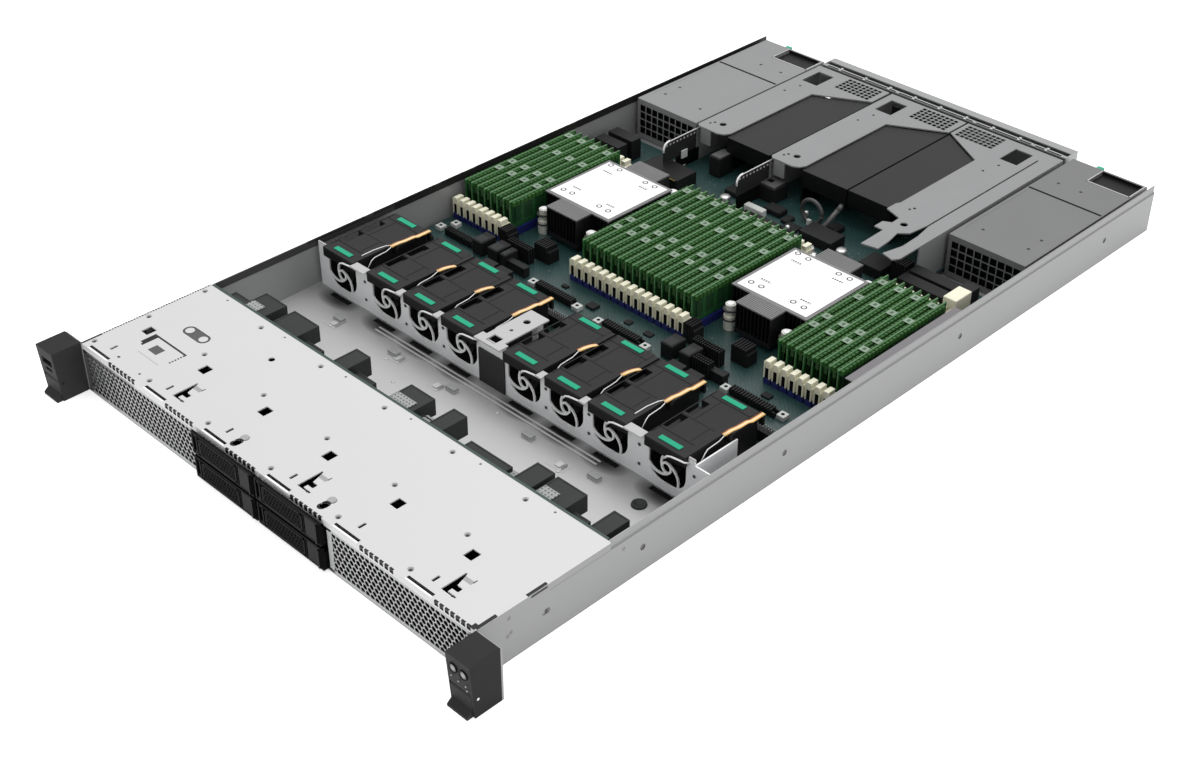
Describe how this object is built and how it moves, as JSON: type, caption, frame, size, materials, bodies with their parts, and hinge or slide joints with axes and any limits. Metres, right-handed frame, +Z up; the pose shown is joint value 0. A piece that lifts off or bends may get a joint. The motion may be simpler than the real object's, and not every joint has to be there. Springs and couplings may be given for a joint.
{
  "type": "rack server",
  "caption": "Low rack-mount server with its top cover off: front drive bay, row of fan modules behind spiral guards, system board with heatsinks and memory, risers and power supplies.",
  "frame": {"origin": "centre of the bounding box in X and Y, on the underside of the chassis", "axes": "+X to the right seen from the front, +Y from the front towards the rear, +Z up"},
  "size_m": [0.4826, 0.816, 0.043],
  "materials": {
    "tray_steel": "satin zinc-plated sheet",
    "cover_paint": "fine speckled light grey coat",
    "cage_steel": "satin zinc-plated sheet",
    "grille_paint": "light grey coat",
    "carrier_paint": "satin black coat over a steel tray",
    "dark_plastic": "matte black moulding",
    "circuit_board": "dark green-blue solder mask",
    "connector_plastic": "matte dark moulding with cream latches",
    "memory_green": "green solder mask with black chips",
    "heatsink_metal": "bare finned aluminium with a light top plate",
    "riser_steel": "satin zinc-plated sheet",
    "ear_plastic": "matte dark grey moulding",
    "fan_plastic": "matte black moulding with teal touch points",
    "rotor_plastic": "glossy black moulding",
    "psu_steel": "satin zinc-plated sheet",
    "teal_plastic": "teal moulding",
    "button_plastic": "glossy grey moulding"
  },
  "bodies": {
    "chassis": {"chassis_tray": "tray_steel", "floor_fittings": "tray_steel", "rear_panel": "tray_steel", "front_bay_cover": "cover_paint", "drive_cage": "cage_steel", "grille_left": "grille_paint", "grille_right": "grille_paint", "backplane": "circuit_board", "backplane_connectors": "connector_plastic", "fan_wall": "cage_steel", "fan_bridge": "cage_steel", "fan_divider": "dark_plastic", "system_board": "circuit_board", "board_connectors": "connector_plastic", "dimm_sockets_left": "connector_plastic", "dimm_sockets_middle": "connector_plastic", "dimm_sockets_right": "connector_plastic", "dimm_modules_left": "memory_green", "dimm_modules_middle": "memory_green", "dimm_modules_right": "memory_green", "heatsink_left": "heatsink_metal", "heatsink_right": "heatsink_metal", "riser_bracket_left": "riser_steel", "riser_bracket_middle": "riser_steel", "riser_bracket_right": "riser_steel", "riser_cards": "circuit_board", "ear_left": "ear_plastic", "ear_right": "ear_plastic"},
    "drive_1": {"drive_carrier_1": "carrier_paint"},
    "latch_1": {"drive_latch_1": "dark_plastic"},
    "drive_2": {"drive_carrier_2": "carrier_paint"},
    "latch_2": {"drive_latch_2": "dark_plastic"},
    "drive_3": {"drive_carrier_3": "carrier_paint"},
    "latch_3": {"drive_latch_3": "dark_plastic"},
    "drive_4": {"drive_carrier_4": "carrier_paint"},
    "latch_4": {"drive_latch_4": "dark_plastic"},
    "fan_1": {"fan_housing_1": "fan_plastic"},
    "rotor_1": {"fan_rotor_1": "rotor_plastic"},
    "fan_2": {"fan_housing_2": "fan_plastic"},
    "rotor_2": {"fan_rotor_2": "rotor_plastic"},
    "fan_3": {"fan_housing_3": "fan_plastic"},
    "rotor_3": {"fan_rotor_3": "rotor_plastic"},
    "fan_4": {"fan_housing_4": "fan_plastic"},
    "rotor_4": {"fan_rotor_4": "rotor_plastic"},
    "fan_5": {"fan_housing_5": "fan_plastic"},
    "rotor_5": {"fan_rotor_5": "rotor_plastic"},
    "fan_6": {"fan_housing_6": "fan_plastic"},
    "rotor_6": {"fan_rotor_6": "rotor_plastic"},
    "fan_7": {"fan_housing_7": "fan_plastic"},
    "rotor_7": {"fan_rotor_7": "rotor_plastic"},
    "fan_8": {"fan_housing_8": "fan_plastic"},
    "rotor_8": {"fan_rotor_8": "rotor_plastic"},
    "psu_left": {"psu_left": "psu_steel"},
    "psu_latch_left": {"psu_latch_left": "teal_plastic"},
    "psu_right": {"psu_right": "psu_steel"},
    "psu_latch_right": {"psu_latch_right": "teal_plastic"},
    "ear_lever_left": {"ear_lever_left": "ear_plastic"},
    "ear_lever_right": {"ear_lever_right": "ear_plastic"},
    "power_button": {"power_button": "button_plastic"},
    "locate_button": {"locate_button": "button_plastic"}
  },
  "joints": [
    {"name": "drive_slide_1", "type": "slide", "parent": "chassis", "child": "drive_1", "axis": [0, -1, 0], "range_m": [0, 0.1]},
    {"name": "drive_latch_hinge_1", "type": "hinge", "parent": "drive_1", "child": "latch_1", "pos_m": [-0.0166, -0.38435, 0.0108], "axis": [0, 0, -1], "range_deg": [0, 70]},
    {"name": "drive_slide_2", "type": "slide", "parent": "chassis", "child": "drive_2", "axis": [0, -1, 0], "range_m": [0, 0.1]},
    {"name": "drive_latch_hinge_2", "type": "hinge", "parent": "drive_2", "child": "latch_2", "pos_m": [-0.0166, -0.38435, 0.0316], "axis": [0, 0, -1], "range_deg": [0, 70]},
    {"name": "drive_slide_3", "type": "slide", "parent": "chassis", "child": "drive_3", "axis": [0, -1, 0], "range_m": [0, 0.1]},
    {"name": "drive_latch_hinge_3", "type": "hinge", "parent": "drive_3", "child": "latch_3", "pos_m": [0.0565, -0.38435, 0.0108], "axis": [0, 0, -1], "range_deg": [0, 70]},
    {"name": "drive_slide_4", "type": "slide", "parent": "chassis", "child": "drive_4", "axis": [0, -1, 0], "range_m": [0, 0.1]},
    {"name": "drive_latch_hinge_4", "type": "hinge", "parent": "drive_4", "child": "latch_4", "pos_m": [0.0565, -0.38435, 0.0316], "axis": [0, 0, -1], "range_deg": [0, 70]},
    {"name": "fan_lift_1", "type": "slide", "parent": "chassis", "child": "fan_1", "axis": [0, 0, 1], "range_m": [0, 0.045]},
    {"name": "fan_spin_1", "type": "hinge", "parent": "fan_1", "child": "rotor_1", "pos_m": [-0.1853, -0.1464, 0.021], "axis": [0, 1, 0], "continuous": true},
    {"name": "fan_lift_2", "type": "slide", "parent": "chassis", "child": "fan_2", "axis": [0, 0, 1], "range_m": [0, 0.045]},
    {"name": "fan_spin_2", "type": "hinge", "parent": "fan_2", "child": "rotor_2", "pos_m": [-0.1297, -0.1464, 0.021], "axis": [0, 1, 0], "continuous": true},
    {"name": "fan_lift_3", "type": "slide", "parent": "chassis", "child": "fan_3", "axis": [0, 0, 1], "range_m": [0, 0.045]},
    {"name": "fan_spin_3", "type": "hinge", "parent": "fan_3", "child": "rotor_3", "pos_m": [-0.0851, -0.1464, 0.021], "axis": [0, 1, 0], "continuous": true},
    {"name": "fan_lift_4", "type": "slide", "parent": "chassis", "child": "fan_4", "axis": [0, 0, 1], "range_m": [0, 0.045]},
    {"name": "fan_spin_4", "type": "hinge", "parent": "fan_4", "child": "rotor_4", "pos_m": [-0.0405, -0.1464, 0.021], "axis": [0, 1, 0], "continuous": true},
    {"name": "fan_lift_5", "type": "slide", "parent": "chassis", "child": "fan_5", "axis": [0, 0, 1], "range_m": [0, 0.045]},
    {"name": "fan_spin_5", "type": "hinge", "parent": "fan_5", "child": "rotor_5", "pos_m": [0.029, -0.1464, 0.021], "axis": [0, 1, 0], "continuous": true},
    {"name": "fan_lift_6", "type": "slide", "parent": "chassis", "child": "fan_6", "axis": [0, 0, 1], "range_m": [0, 0.045]},
    {"name": "fan_spin_6", "type": "hinge", "parent": "fan_6", "child": "rotor_6", "pos_m": [0.0736, -0.1464, 0.021], "axis": [0, 1, 0], "continuous": true},
    {"name": "fan_lift_7", "type": "slide", "parent": "chassis", "child": "fan_7", "axis": [0, 0, 1], "range_m": [0, 0.045]},
    {"name": "fan_spin_7", "type": "hinge", "parent": "fan_7", "child": "rotor_7", "pos_m": [0.1182, -0.1464, 0.021], "axis": [0, 1, 0], "continuous": true},
    {"name": "fan_lift_8", "type": "slide", "parent": "chassis", "child": "fan_8", "axis": [0, 0, 1], "range_m": [0, 0.045]},
    {"name": "fan_spin_8", "type": "hinge", "parent": "fan_8", "child": "rotor_8", "pos_m": [0.1738, -0.1464, 0.021], "axis": [0, 1, 0], "continuous": true},
    {"name": "psu_slide_left", "type": "slide", "parent": "chassis", "child": "psu_left", "axis": [0, 1, 0], "range_m": [0, 0.18]},
    {"name": "psu_latch_press_left", "type": "slide", "parent": "psu_left", "child": "psu_latch_left", "axis": [1, 0, 0], "range_m": [0, 0.003], "stiffness_N_per_m": 1200},
    {"name": "psu_slide_right", "type": "slide", "parent": "chassis", "child": "psu_right", "axis": [0, 1, 0], "range_m": [0, 0.18]},
    {"name": "psu_latch_press_right", "type": "slide", "parent": "psu_right", "child": "psu_latch_right", "axis": [1, 0, 0], "range_m": [0, 0.003], "stiffness_N_per_m": 1200},
    {"name": "ear_lever_hinge_left", "type": "hinge", "parent": "chassis", "child": "ear_lever_left", "pos_m": [-0.23, -0.40102, 0.0155], "axis": [-1, 0, 0], "range_deg": [0, 35]},
    {"name": "ear_lever_hinge_right", "type": "hinge", "parent": "chassis", "child": "ear_lever_right", "pos_m": [0.23, -0.40102, 0.0155], "axis": [-1, 0, 0], "range_deg": [0, 35]},
    {"name": "power_button_press", "type": "slide", "parent": "chassis", "child": "power_button", "axis": [0, 1, 0], "range_m": [0, 0.0012], "stiffness_N_per_m": 400},
    {"name": "locate_button_press", "type": "slide", "parent": "chassis", "child": "locate_button", "axis": [0, 1, 0], "range_m": [0, 0.0012], "stiffness_N_per_m": 400}
  ]
}
